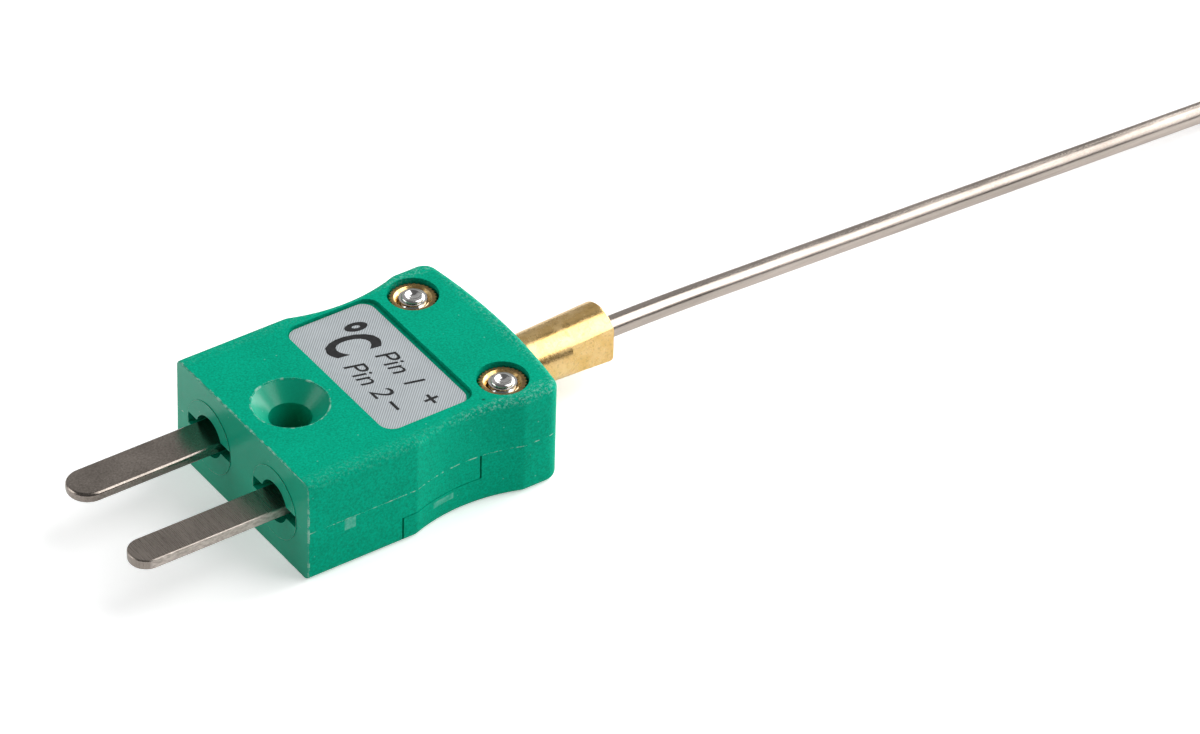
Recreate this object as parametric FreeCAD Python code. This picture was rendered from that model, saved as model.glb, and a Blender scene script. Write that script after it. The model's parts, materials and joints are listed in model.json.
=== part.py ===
"""Mineral-insulated thermocouple probe on a miniature flat-pin plug.

Frame, millimetres: the origin is the middle of the plug's mating face, +X runs
from that face towards the probe tip, +Z is the labelled side.  The side at +Y is
called left and carries the negative (wider) blade, the side at -Y is called right
and carries the positive (narrower) blade.
"""
import FreeCAD, Part
import math
import os

# --- plug moulding: outer form -------------------------------------------------
PLUG_WIDTH = 15.9            # across the two blades
PLUG_THICKNESS = 7.85        # body and cap together
PLUG_LENGTH = 20.3           # mating face to the crown of the rear face
REAR_BOW_RADIUS = 45.0       # the rear face is slightly crowned
REAR_CORNER_RADIUS = 1.1
WAIST_REAR = 7.7             # finger waist centre, from the crown of the rear face
WAIST_RADIUS = 12.0
WAIST_DEPTH = 0.75           # on each side
WAIST_BLEND = 0.8            # softened ends of the waist
EDGE_RADIUS = 0.5            # long edges and rear edges
MATING_EDGE_RADIUS = 0.1     # the mating face is left almost sharp

# --- split between the body and the rear cap -----------------------------------
CAP_LENGTH = 12.9            # crown of the rear face to the cap's front edge
CAP_TOE = 6.5                # thin front part of the cap
CAP_TOE_THICKNESS = 2.0
STEP_GAP = 0.14              # upright gaps at the two steps of the split
SEAM_GAP = 0.06              # lying gap over the toe
CAP_FLOOR = 1.0              # wall under the terminals
CAP_SIDE_WALL = 2.0          # wall beside the terminals
CAP_FRONT_WALL = 1.0

# --- fixing hole ----------------------------------------------------------------
HOLE_FRONT = 3.74            # hole axis from the mating face
HOLE_RADIUS = 1.45
COUNTERSINK_RADIUS = 2.6     # at the surface, 90 degree cone

# --- blades ---------------------------------------------------------------------
BLADE_PITCH = 7.92
BLADE_THICKNESS = 0.75
BLADE_LEVEL = 0.08           # blade centre above the middle of the plug
NEGATIVE_WIDTH = 2.95
NEGATIVE_REACH = 10.75       # beyond the mating face
NEGATIVE_EDGE_RADIUS = 0.24  # tumbled
POSITIVE_WIDTH = 2.5
POSITIVE_REACH = 11.0
POSITIVE_EDGE_RADIUS = 0.12
BLADE_FIT = 0.05             # slot clearance all round a blade
BOSS_RADIUS = 2.6            # low round boss about each blade
BOSS_HEIGHT = 0.05           # above the mating face
MOUTH_RADIUS = 1.5           # round relief in each boss
MOUTH_HEIGHT = 0.9           # slot that crosses the boss from edge to edge
MOUTH_DEPTH = 2.0

# --- terminals ------------------------------------------------------------------
TERMINAL_BACK = 3.1          # terminal screw axis behind the cap's front edge
TANG_TAIL = 1.5              # blade left behind the terminal screw
TERMINAL_SCREW_RADIUS = 0.75
TERMINAL_HEAD_RADIUS = 1.35
TERMINAL_HEAD_HEIGHT = 0.9
TERMINAL_GRIP = 1.5          # screw in the plastic above the blade
DRIVE_SLOT_WIDTH = 0.4
DRIVE_SLOT_DEPTH = 0.4
PLATE_SIZE = 2.8
PLATE_THICKNESS = 0.4
POCKET_CLEARANCE = 0.4       # about a clamp plate
SCREW_FIT = 0.05             # radial, screw in its hole

# --- inserts and cap screws -----------------------------------------------------
INSERT_REAR = 3.54           # screw axis before the crown of the rear face
INSERT_SIDE = 2.63           # screw axis inside the plug's side
INSERT_RADIUS = 1.66
INSERT_MOUTH_RADIUS = 1.76   # moulded lead-in over the insert
INSERT_MOUTH_DEPTH = 1.2
INSERT_SINK = 0.28           # insert face below the top of the plug
INSERT_FOOT = 0.28           # lower end of the insert above the split
INSERT_CHAMFER = 0.25
INSERT_FIT = 0.01
CAP_SCREW_RADIUS = 0.95
CAP_SCREW_SINK = 0.06        # screw end below the top of the plug
CAP_SCREW_HEAD_RADIUS = 1.9
CAP_SCREW_HEAD_HEIGHT = 1.1
CAP_SCREW_HEAD_SINK = 0.25
HEAD_CLEARANCE = 0.15
CAP_HOLE_CLEARANCE = 0.15

# --- label ----------------------------------------------------------------------
LABEL_LENGTH = 12.45         # across the plug
LABEL_WIDTH = 6.5            # along the plug
LABEL_THICKNESS = 0.1
LABEL_CORNER = 0.9
LABEL_OFFSET = 0.34          # label middle towards the left
LABEL_LAG = 0.05             # label front edge behind the cap's front edge
RECESS_DEPTH = 0.3
RECESS_MARGIN = 0.12
RECESS_REAR_MARGIN = 0.42

# --- probe sheath, crimp sleeve and what they hold --------------------------------
AXIS_LEVEL = -0.5            # probe axis at the plug
SHEATH_DIAMETER = 1.5
SHEATH_WALL = 0.2
SHEATH_LENGTH = 150.0        # crimp sleeve rim to tip
SHEATH_TAIL = 1.0            # sheath that stands out inside the plug
SHEATH_TIP_RADIUS = 0.6
TIP_WALL = 0.9
EXIT_BEND_RADIUS = 183.0
LANDING_BEND_RADIUS = 200.0
LANDING_DISTANCE = 57.0      # between the middles of the two bends
SLEEVE_IN = 3.7              # crimp sleeve inside the plug
SLEEVE_OUT = 7.9             # crimp sleeve outside the plug
SLEEVE_NECK_RADIUS = 1.85
SLEEVE_RIM_RADIUS = 2.14
SLEEVE_RIM_EDGE = 0.15
SLEEVE_FLATS = 3.3           # across, over the rim
SLEEVE_FLAT_LENGTH = 3.4
COLLAR_IN = 3.1              # collar start before the crown of the rear face
COLLAR_WIDTH = 1.0
COLLAR_RADIUS = 2.5
SLEEVE_SEAT_CLEARANCE = 0.05
CRIMP_FIT = 0.02             # radial, sheath in the sleeve and core in the sheath
WIRE_ROOM_HALF = 3.0         # half width of the room between terminals and sleeve
WIRE_ROOM_HEIGHT = 0.8       # above the middle of the plug
WIRE_ROOM_WALL = 0.3         # room to the crimp sleeve
SEAL_THICKNESS = 0.8
SEAL_RADIUS = 0.95
CONDUCTOR_RADIUS = 0.15
CONDUCTOR_SPREAD = 0.27      # from the probe axis
CONDUCTOR_BEND = 1.0
CONDUCTOR_FIT = 0.01
TUBING_RADIUS = 0.4
TUBING_END = 0.25            # share of the slanting wire left bare at each end
JUNCTION_RADIUS = 0.45
JUNCTION_LENGTH = 0.4
JUNCTION_SETBACK = 0.6       # insulation between the junction and the closed end

# --- places worked out from the sizes above -----------------------------------------
TOP = PLUG_THICKNESS / 2
BOTTOM = -TOP
HALF_WIDTH = PLUG_WIDTH / 2
CAP_FRONT_X = PLUG_LENGTH - CAP_LENGTH
CAP_STEP_X = CAP_FRONT_X + CAP_TOE
TOE_TOP = BOTTOM + CAP_TOE_THICKNESS
TERMINAL_X = CAP_FRONT_X + TERMINAL_BACK
TERMINAL_Y = BLADE_PITCH / 2
TANG_END_X = TERMINAL_X + TANG_TAIL
POCKET_HALF = PLATE_SIZE / 2 + POCKET_CLEARANCE
BLADE_UNDER = BLADE_LEVEL - BLADE_THICKNESS / 2
WIRE_LEVEL = BLADE_UNDER - CONDUCTOR_RADIUS
PLATE_TOP = BLADE_UNDER - 2 * CONDUCTOR_RADIUS
INSERT_X = PLUG_LENGTH - INSERT_REAR
INSERT_Y = HALF_WIDTH - INSERT_SIDE
SLEEVE_START_X = PLUG_LENGTH - SLEEVE_IN
RIM_X = PLUG_LENGTH + SLEEVE_OUT
COLLAR_X = PLUG_LENGTH - COLLAR_IN
WIRE_ROOM_X = SLEEVE_START_X - WIRE_ROOM_WALL
SHEATH_START_X = SLEEVE_START_X - SHEATH_TAIL
SEAL_X = SHEATH_START_X - SEAL_THICKNESS
SHEATH_RADIUS = SHEATH_DIAMETER / 2
CORE_RADIUS = SHEATH_RADIUS - SHEATH_WALL - CRIMP_FIT
RESTING_LEVEL = BOTTOM + SHEATH_RADIUS
TIP_X = RIM_X + SHEATH_LENGTH
CORE_END_X = TIP_X - TIP_WALL
JUNCTION_X = CORE_END_X - JUNCTION_SETBACK - JUNCTION_LENGTH
BEND_ANGLE = math.atan2(AXIS_LEVEL - RESTING_LEVEL, LANDING_DISTANCE)
EXIT_BEND_X = RIM_X + EXIT_BEND_RADIUS * math.tan(BEND_ANGLE / 2)
LANDING_BEND_X = EXIT_BEND_X + LANDING_DISTANCE
CLAMPED_WIRE_Y = TERMINAL_Y - TERMINAL_SCREW_RADIUS - 2 * SCREW_FIT - CONDUCTOR_RADIUS
PAST = 1.0                   # how far a cutter runs past the face that it opens

X_AXIS = FreeCAD.Vector(1, 0, 0)
Z_AXIS = FreeCAD.Vector(0, 0, 1)
SIDES = {"left": 1, "right": -1}
POLES = {"negative": 1, "positive": -1}


def point(x, y, z):
    return FreeCAD.Vector(x, y, z)


def block(x_range, y_range, z_range):
    """Box between two corners, each range given as (low, high)."""
    low = point(x_range[0], y_range[0], z_range[0])
    size = [high - start for start, high in (x_range, y_range, z_range)]
    return Part.makeBox(size[0], size[1], size[2], low)


def rod_x(radius, x_range, y, z):
    return Part.makeCylinder(radius, x_range[1] - x_range[0], point(x_range[0], y, z), X_AXIS)


def rod_z(radius, x, y, z_range):
    return Part.makeCylinder(radius, z_range[1] - z_range[0], point(x, y, z_range[0]), Z_AXIS)


def rounded_plate(x_range, y_range, z_range, corner):
    """Flat plate whose four upright edges are rounded."""
    plate = block(x_range, y_range, z_range)
    upright = [edge for edge in plate.Edges if abs(edge.tangentAt(edge.FirstParameter).z) > 0.9]
    return plate.makeFillet(corner, upright)


def rounded_route(points, radii):
    """Straight runs from point to point, each inner corner eased by a tangent arc."""
    edges = []
    start = points[0]
    for index, radius in enumerate(radii):
        before, corner, after = points[index:index + 3]
        inward = (before - corner).normalize()
        onward = (after - corner).normalize()
        half_turn = (math.pi - inward.getAngle(onward)) / 2
        setback = radius * math.tan(half_turn)
        leave = corner + inward * setback
        rejoin = corner + onward * setback
        middle = (inward + onward).normalize()
        crown = corner + middle * (radius / math.cos(half_turn) - radius)
        edges.append(Part.LineSegment(start, leave).toShape())
        edges.append(Part.Arc(leave, crown, rejoin).toShape())
        start = rejoin
    edges.append(Part.LineSegment(start, points[-1]).toShape())
    return Part.Wire(edges)


def swept_rod(points, radii, radius):
    """Round rod along a rounded route."""
    route = rounded_route(points, radii)
    heading = points[1] - points[0]
    section = Part.Wire(Part.Circle(points[0], heading, radius).toShape())
    return route.makePipeShell([section], True, True)


def probe_route(start_x, end_x, y=0.0):
    """Probe axis: level from the plug, sloping down after the sleeve, then lying level."""
    points = [
        point(start_x, y, AXIS_LEVEL),
        point(EXIT_BEND_X, y, AXIS_LEVEL),
        point(LANDING_BEND_X, y, RESTING_LEVEL),
        point(end_x, y, RESTING_LEVEL),
    ]
    return points, [EXIT_BEND_RADIUS, LANDING_BEND_RADIUS]


def half_outline(side):
    """One side of the plan: straight, waist arc, straight, from the mating face rearwards."""
    reach = math.sqrt(WAIST_RADIUS ** 2 - (WAIST_RADIUS - WAIST_DEPTH) ** 2)
    waist_x = PLUG_LENGTH - WAIST_REAR
    corner_x = PLUG_LENGTH - REAR_BOW_RADIUS + math.sqrt(REAR_BOW_RADIUS ** 2 - HALF_WIDTH ** 2)
    y = side * HALF_WIDTH
    waist_start = point(waist_x - reach, y, BOTTOM)
    waist_floor = point(waist_x, side * (HALF_WIDTH - WAIST_DEPTH), BOTTOM)
    waist_end = point(waist_x + reach, y, BOTTOM)
    corner = point(corner_x, y, BOTTOM)
    edges = [
        Part.LineSegment(point(0, y, BOTTOM), waist_start).toShape(),
        Part.Arc(waist_start, waist_floor, waist_end).toShape(),
        Part.LineSegment(waist_end, corner).toShape(),
    ]
    return edges, corner


def upright_edges(shape, x_low, x_high):
    """Upright edges whose x lies in a range."""
    found = []
    for edge in shape.Edges:
        box = edge.BoundBox
        if box.ZLength > PLUG_THICKNESS * 0.9 and x_low < box.XMin and box.XMax < x_high:
            found.append(edge)
    return found


def plug_form():
    """Outer form of the closed plug: plan raised to its thickness, edges eased."""
    right, right_corner = half_outline(-1)
    left, left_corner = half_outline(1)
    crown = Part.Arc(right_corner, point(PLUG_LENGTH, 0, BOTTOM), left_corner).toShape()
    front = Part.LineSegment(point(0, -HALF_WIDTH, BOTTOM), point(0, HALF_WIDTH, BOTTOM)).toShape()
    outline = Part.Wire(Part.__sortEdges__(right + [crown] + left + [front]))
    form = Part.Face(outline).extrude(point(0, 0, PLUG_THICKNESS))
    rear_start = right_corner.x - REAR_CORNER_RADIUS
    form = form.makeFillet(WAIST_BLEND, upright_edges(form, MATING_EDGE_RADIUS, rear_start))
    form = form.makeFillet(REAR_CORNER_RADIUS, upright_edges(form, rear_start, PLUG_LENGTH))
    long_edges = []
    for edge in form.Edges:
        box = edge.BoundBox
        if box.ZLength < MATING_EDGE_RADIUS and box.XMax > MATING_EDGE_RADIUS:
            long_edges.append(edge)
    form = form.makeFillet(EDGE_RADIUS, long_edges)
    mating = [edge for edge in form.Edges if edge.BoundBox.XMax < MATING_EDGE_RADIUS]
    return form.makeFillet(MATING_EDGE_RADIUS, mating)


def cap_space(gap_up, gap_front):
    """Stepped region below the split, widened by the gaps."""
    wide = (-HALF_WIDTH - PAST, HALF_WIDTH + PAST)
    rear = PLUG_LENGTH + PAST
    toe = block((CAP_FRONT_X - gap_front, rear), wide, (BOTTOM - PAST, TOE_TOP + gap_up))
    heel = block((CAP_STEP_X - gap_front, rear), wide, (BOTTOM - PAST, 0))
    return toe.fuse(heel)


def wire_room():
    """Room for the wires between the terminals and the crimp sleeve."""
    front = TERMINAL_X + TERMINAL_SCREW_RADIUS
    across = (-WIRE_ROOM_HALF, WIRE_ROOM_HALF)
    return block((front, WIRE_ROOM_X), across, (BOTTOM + CAP_FLOOR, WIRE_ROOM_HEIGHT))


def sleeve_seat(open_upwards):
    """Seat of the crimp sleeve and its collar, open upwards in the cap."""
    neck = SLEEVE_NECK_RADIUS + SLEEVE_SEAT_CLEARANCE
    collar = COLLAR_RADIUS + SLEEVE_SEAT_CLEARANCE
    neck_x = (WIRE_ROOM_X, PLUG_LENGTH + PAST)
    collar_x = (COLLAR_X - SLEEVE_SEAT_CLEARANCE, COLLAR_X + COLLAR_WIDTH + SLEEVE_SEAT_CLEARANCE)
    seat = rod_x(neck, neck_x, 0, AXIS_LEVEL).fuse(rod_x(collar, collar_x, 0, AXIS_LEVEL))
    if open_upwards:
        for radius, x_range in ((neck, neck_x), (collar, collar_x)):
            seat = seat.fuse(block(x_range, (-radius, radius), (AXIS_LEVEL, PAST)))
    return seat


def blade_boss(y):
    """Low round boss about a blade, the mark of the mould's round core."""
    return rod_x(BOSS_RADIUS, (-BOSS_HEIGHT, MATING_EDGE_RADIUS), y, 0)


def blade_mouth(y):
    """Relief about a blade in its boss: a round hole and a slot as wide as the boss."""
    depth = (-PAST, MOUTH_DEPTH)
    across = (y - BOSS_RADIUS, y + BOSS_RADIUS)
    slot_z = (BLADE_LEVEL - MOUTH_HEIGHT / 2, BLADE_LEVEL + MOUTH_HEIGHT / 2)
    slot = block(depth, across, slot_z).common(rod_x(BOSS_RADIUS, depth, y, 0))
    return rod_x(MOUTH_RADIUS, depth, y, BLADE_LEVEL).fuse(slot)


def blade_size(pole):
    """Width of a blade, its reach beyond the mating face and the radius of its edges."""
    if pole == "negative":
        return NEGATIVE_WIDTH, NEGATIVE_REACH, NEGATIVE_EDGE_RADIUS
    return POSITIVE_WIDTH, POSITIVE_REACH, POSITIVE_EDGE_RADIUS


def terminal_cutters(pole):
    """Everything that the body opens for one blade and its terminal."""
    y = POLES[pole] * TERMINAL_Y
    half = blade_size(pole)[0] / 2 + BLADE_FIT
    pocket_end = TANG_END_X + POCKET_CLEARANCE
    slot_z = (BLADE_UNDER - BLADE_FIT, BLADE_UNDER + BLADE_THICKNESS + BLADE_FIT)
    slot = block((-PAST, pocket_end), (y - half, y + half), slot_z)
    pocket_x = (TERMINAL_X - POCKET_HALF, pocket_end)
    pocket = block(pocket_x, (y - POCKET_HALF, y + POCKET_HALF), (BOTTOM, BLADE_UNDER))
    grip = (BLADE_UNDER, BLADE_UNDER + BLADE_THICKNESS + TERMINAL_GRIP + SCREW_FIT)
    pilot = rod_z(TERMINAL_SCREW_RADIUS + SCREW_FIT, TERMINAL_X, y, grip)
    return [blade_mouth(y), slot, pocket, pilot]


def fixing_hole():
    """Through hole with a 90 degree countersink in the labelled side."""
    drop = COUNTERSINK_RADIUS - HOLE_RADIUS
    cone_foot = point(HOLE_FRONT, 0, TOP - drop)
    cone = Part.makeCone(HOLE_RADIUS, COUNTERSINK_RADIUS, drop, cone_foot, Z_AXIS)
    return rod_z(HOLE_RADIUS, HOLE_FRONT, 0, (BOTTOM - PAST, TOP)).fuse(cone)


def label_ranges():
    """Plan of the label: (x range, y range)."""
    front = CAP_FRONT_X + LABEL_LAG
    return ((front, front + LABEL_WIDTH),
            (LABEL_OFFSET - LABEL_LENGTH / 2, LABEL_OFFSET + LABEL_LENGTH / 2))


def label_recess():
    label_x, label_y = label_ranges()
    recess_x = (label_x[0] - RECESS_MARGIN, label_x[1] + RECESS_REAR_MARGIN)
    recess_y = (label_y[0] - RECESS_MARGIN, label_y[1] + RECESS_MARGIN)
    return rounded_plate(recess_x, recess_y, (TOP - RECESS_DEPTH, TOP + PAST),
                         LABEL_CORNER + RECESS_MARGIN)


def insert_bore(side):
    """Bore for a brass insert with its moulded lead-in."""
    y = SIDES[side] * INSERT_Y
    bore = rod_z(INSERT_RADIUS + INSERT_FIT, INSERT_X, y, (-PAST, TOP))
    return bore.fuse(rod_z(INSERT_MOUTH_RADIUS, INSERT_X, y, (TOP - INSERT_MOUTH_DEPTH, TOP + PAST)))


def make_body(form):
    """Main moulding: full height at the mating face, stepped away below for the cap."""
    cutters = [cap_space(SEAM_GAP, STEP_GAP), wire_room(), sleeve_seat(False)]
    for pole in POLES:
        cutters += terminal_cutters(pole)
    cutters += [insert_bore(side) for side in SIDES]
    cutters += [fixing_hole(), label_recess()]
    bosses = [blade_boss(side * TERMINAL_Y) for side in POLES.values()]
    return form.fuse(bosses).cut(cutters).removeSplitter()


def make_cap(form):
    """Rear cap: thin toe under the terminals, full half height behind them."""
    shell = form.common(cap_space(0, 0))
    front = CAP_FRONT_X + CAP_FRONT_WALL
    across = (CAP_SIDE_WALL - HALF_WIDTH, HALF_WIDTH - CAP_SIDE_WALL)
    chamber = block((front, CAP_STEP_X), across, (BOTTOM + CAP_FLOOR, TOP))
    cutters = [chamber, wire_room(), sleeve_seat(True)]
    head_depth = CAP_SCREW_HEAD_HEIGHT + CAP_SCREW_HEAD_SINK
    for side in SIDES.values():
        y = side * INSERT_Y
        cutters.append(rod_z(CAP_SCREW_RADIUS + CAP_HOLE_CLEARANCE, INSERT_X, y, (BOTTOM, TOP)))
        cutters.append(rod_z(CAP_SCREW_HEAD_RADIUS + HEAD_CLEARANCE, INSERT_X, y,
                             (BOTTOM - PAST, BOTTOM + head_depth)))
    return shell.cut(cutters)


def make_blade(pole):
    """Flat pin with a full-round tip and a tang drilled for its terminal screw."""
    y = POLES[pole] * TERMINAL_Y
    width, reach, edge_radius = blade_size(pole)
    half = width / 2
    tip_x = half - reach
    low = point(tip_x, y - half, BLADE_UNDER)
    high = point(tip_x, y + half, BLADE_UNDER)
    tang_low = point(TANG_END_X, y - half, BLADE_UNDER)
    tang_high = point(TANG_END_X, y + half, BLADE_UNDER)
    outline = Part.Wire([
        Part.Arc(low, point(-reach, y, BLADE_UNDER), high).toShape(),
        Part.LineSegment(high, tang_high).toShape(),
        Part.LineSegment(tang_high, tang_low).toShape(),
        Part.LineSegment(tang_low, low).toShape(),
    ])
    blade = Part.Face(outline).extrude(point(0, 0, BLADE_THICKNESS))
    rims = [edge for edge in blade.Edges
            if edge.BoundBox.ZLength < edge_radius and edge.BoundBox.XMin < TERMINAL_X]
    blade = blade.makeFillet(edge_radius, rims)
    hole = rod_z(TERMINAL_SCREW_RADIUS + SCREW_FIT, TERMINAL_X, y, (BOTTOM, TOP))
    return blade.cut(hole)


def make_terminal_screw(pole):
    """Cheese-head screw that clamps the wire under the blade's tang."""
    y = POLES[pole] * TERMINAL_Y
    seat = PLATE_TOP - PLATE_THICKNESS
    underside = seat - TERMINAL_HEAD_HEIGHT
    shank_end = BLADE_UNDER + BLADE_THICKNESS + TERMINAL_GRIP
    head = rod_z(TERMINAL_HEAD_RADIUS, TERMINAL_X, y, (underside, seat))
    shank = rod_z(TERMINAL_SCREW_RADIUS, TERMINAL_X, y, (underside, shank_end))
    half_slot = DRIVE_SLOT_WIDTH / 2
    slot = block((TERMINAL_X - POCKET_HALF, TERMINAL_X + POCKET_HALF),
                 (y - half_slot, y + half_slot), (underside, underside + DRIVE_SLOT_DEPTH))
    return head.fuse(shank).cut(slot).removeSplitter()


def make_clamp_plate(pole):
    """Square washer between the wire and the terminal screw's head."""
    y = POLES[pole] * TERMINAL_Y
    half = PLATE_SIZE / 2
    plate = rounded_plate((TERMINAL_X - half, TERMINAL_X + half), (y - half, y + half),
                          (PLATE_TOP - PLATE_THICKNESS, PLATE_TOP), PLATE_THICKNESS)
    return plate.cut(rod_z(TERMINAL_SCREW_RADIUS + SCREW_FIT, TERMINAL_X, y, (BOTTOM, TOP)))


def make_insert(side):
    """Threaded brass bush with a chamfered mouth."""
    y = SIDES[side] * INSERT_Y
    face = TOP - INSERT_SINK
    bush = rod_z(INSERT_RADIUS, INSERT_X, y, (INSERT_FOOT, face))
    bore = CAP_SCREW_RADIUS + SCREW_FIT
    bush = bush.cut(rod_z(bore, INSERT_X, y, (BOTTOM, TOP)))
    cone_foot = point(INSERT_X, y, face - INSERT_CHAMFER)
    return bush.cut(Part.makeCone(bore, bore + INSERT_CHAMFER, INSERT_CHAMFER, cone_foot, Z_AXIS))


def make_cap_screw(side):
    """Slotted screw, head sunk in the cap's underside, end level with the labelled side."""
    y = SIDES[side] * INSERT_Y
    underside = BOTTOM + CAP_SCREW_HEAD_SINK
    seat = underside + CAP_SCREW_HEAD_HEIGHT
    head = rod_z(CAP_SCREW_HEAD_RADIUS, INSERT_X, y, (underside, seat))
    shank = rod_z(CAP_SCREW_RADIUS, INSERT_X, y, (underside, TOP - CAP_SCREW_SINK))
    half_slot = DRIVE_SLOT_WIDTH / 2
    slot = block((INSERT_X - CAP_SCREW_HEAD_RADIUS - PAST, INSERT_X + CAP_SCREW_HEAD_RADIUS + PAST),
                 (y - half_slot, y + half_slot), (underside, underside + DRIVE_SLOT_DEPTH))
    return head.fuse(shank).cut(slot).removeSplitter()


def make_label():
    """Thin printed label on the floor of its recess."""
    label_x, label_y = label_ranges()
    floor = TOP - RECESS_DEPTH
    return rounded_plate(label_x, label_y, (floor, floor + LABEL_THICKNESS), LABEL_CORNER)


def make_crimp_sleeve():
    """Turned brass sleeve: collar inside the plug, flared neck, two flats at the rim."""
    neck_radius = SLEEVE_NECK_RADIUS
    neck = rod_x(neck_radius, (SLEEVE_START_X, PLUG_LENGTH), 0, AXIS_LEVEL)
    collar = rod_x(COLLAR_RADIUS, (COLLAR_X, COLLAR_X + COLLAR_WIDTH), 0, AXIS_LEVEL)
    flare = Part.makeCone(neck_radius, SLEEVE_RIM_RADIUS, SLEEVE_OUT,
                          point(PLUG_LENGTH, 0, AXIS_LEVEL), X_AXIS)
    sleeve = neck.fuse([collar, flare])
    rim = [edge for edge in sleeve.Edges if edge.BoundBox.XMin > RIM_X - SLEEVE_RIM_EDGE]
    sleeve = sleeve.makeFillet(SLEEVE_RIM_EDGE, rim)
    for side in SIDES.values():
        inner = side * SLEEVE_FLATS / 2
        outer = side * (SLEEVE_RIM_RADIUS + PAST)
        across = (min(inner, outer), max(inner, outer))
        depth = (AXIS_LEVEL - COLLAR_RADIUS, AXIS_LEVEL + COLLAR_RADIUS)
        sleeve = sleeve.cut(block((RIM_X - SLEEVE_FLAT_LENGTH, RIM_X + PAST), across, depth))
    bore = SHEATH_RADIUS + CRIMP_FIT
    return sleeve.cut(rod_x(bore, (SLEEVE_START_X - PAST, RIM_X + PAST), 0, AXIS_LEVEL))


def make_sheath():
    """Metal tube, open inside the plug and welded shut at the tip."""
    points, radii = probe_route(SHEATH_START_X, TIP_X)
    tube = swept_rod(points, radii, SHEATH_RADIUS)
    tip = [edge for edge in tube.Edges if edge.BoundBox.XMin > TIP_X - SHEATH_TIP_RADIUS]
    tube = tube.makeFillet(SHEATH_TIP_RADIUS, tip)
    points, radii = probe_route(SHEATH_START_X - PAST, CORE_END_X)
    return tube.cut(swept_rod(points, radii, SHEATH_RADIUS - SHEATH_WALL))


def make_core():
    """Packed mineral insulation with its two wire channels and the junction's pocket."""
    points, radii = probe_route(SHEATH_START_X, CORE_END_X)
    core = swept_rod(points, radii, CORE_RADIUS)
    for side in POLES.values():
        points, radii = probe_route(SHEATH_START_X - PAST, JUNCTION_X, side * CONDUCTOR_SPREAD)
        core = core.cut(swept_rod(points, radii, CONDUCTOR_RADIUS + CONDUCTOR_FIT))
    pocket_end = JUNCTION_X + JUNCTION_LENGTH
    return core.cut(rod_x(JUNCTION_RADIUS, (JUNCTION_X, pocket_end), 0, RESTING_LEVEL))


def make_junction():
    """Weld bead that joins the two wires near the tip."""
    end = JUNCTION_X + JUNCTION_LENGTH
    return rod_x(JUNCTION_RADIUS - CONDUCTOR_FIT, (JUNCTION_X, end), 0, RESTING_LEVEL)


def make_seal():
    """Resin seal over the open end of the sheath, pierced by the two wires."""
    seal = rod_x(SEAL_RADIUS, (SEAL_X, SHEATH_START_X), 0, AXIS_LEVEL)
    for side in POLES.values():
        y = side * CONDUCTOR_SPREAD
        hole = rod_x(CONDUCTOR_RADIUS + CONDUCTOR_FIT, (SEAL_X - PAST, SHEATH_START_X), y, AXIS_LEVEL)
        seal = seal.cut(hole)
    return seal


def slanting_run(pole):
    """The two corners of a wire between its clamp and the seal."""
    side = POLES[pole]
    clamp_corner = point(TERMINAL_X + PLATE_SIZE / 2, side * CLAMPED_WIRE_Y, WIRE_LEVEL)
    seal_corner = point(SEAL_X - CONDUCTOR_BEND * 0.8, side * CONDUCTOR_SPREAD, AXIS_LEVEL)
    return clamp_corner, seal_corner


def make_conductor(pole):
    """One wire, from its clamp plate through the sheath to the hot junction."""
    side = POLES[pole]
    clamp_corner, seal_corner = slanting_run(pole)
    wire_end = point(TERMINAL_X - PLATE_SIZE / 2, side * CLAMPED_WIRE_Y, WIRE_LEVEL)
    in_sheath, bends = probe_route(SEAL_X, JUNCTION_X, side * CONDUCTOR_SPREAD)
    points = [wire_end, clamp_corner, seal_corner] + in_sheath[1:]
    return swept_rod(points, [CONDUCTOR_BEND, CONDUCTOR_BEND] + bends, CONDUCTOR_RADIUS)


def make_wire_sleeve(pole):
    """Short insulating tubing over the slanting part of a wire."""
    clamp_corner, seal_corner = slanting_run(pole)
    run = seal_corner - clamp_corner
    start = clamp_corner + run * TUBING_END
    length = run.Length * (1 - 2 * TUBING_END)
    tubing = Part.makeCylinder(TUBING_RADIUS, length, start, run)
    return tubing.cut(Part.makeCylinder(CONDUCTOR_RADIUS + CONDUCTOR_FIT, length, start, run))


def make_all():
    """Every sub-part by its name."""
    form = plug_form()
    parts = {
        "body_moulding": make_body(form),
        "rear_cap": make_cap(form),
        "rating_label": make_label(),
        "crimp_sleeve": make_crimp_sleeve(),
        "sheath_tube": make_sheath(),
        "insulation_core": make_core(),
        "hot_junction": make_junction(),
        "sheath_seal": make_seal(),
    }
    for side in SIDES:
        parts["insert_" + side] = make_insert(side)
        parts["cap_screw_" + side] = make_cap_screw(side)
    for pole in POLES:
        parts["blade_" + pole] = make_blade(pole)
        parts["terminal_screw_" + pole] = make_terminal_screw(pole)
        parts["clamp_plate_" + pole] = make_clamp_plate(pole)
        parts["conductor_" + pole] = make_conductor(pole)
        parts["wire_sleeve_" + pole] = make_wire_sleeve(pole)
    return parts


os.makedirs("parts", exist_ok=True)
for name, shape in make_all().items():
    shape.exportStep("parts/" + name + ".step")
    print(name, len(shape.Solids), round(shape.Volume, 3), shape.isValid())
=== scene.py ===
"""Looks of a mineral-insulated thermocouple probe on a miniature flat-pin plug."""
import json
import math
import bmesh
import bpy
import numpy as np
from mathutils import Matrix, Vector


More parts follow.
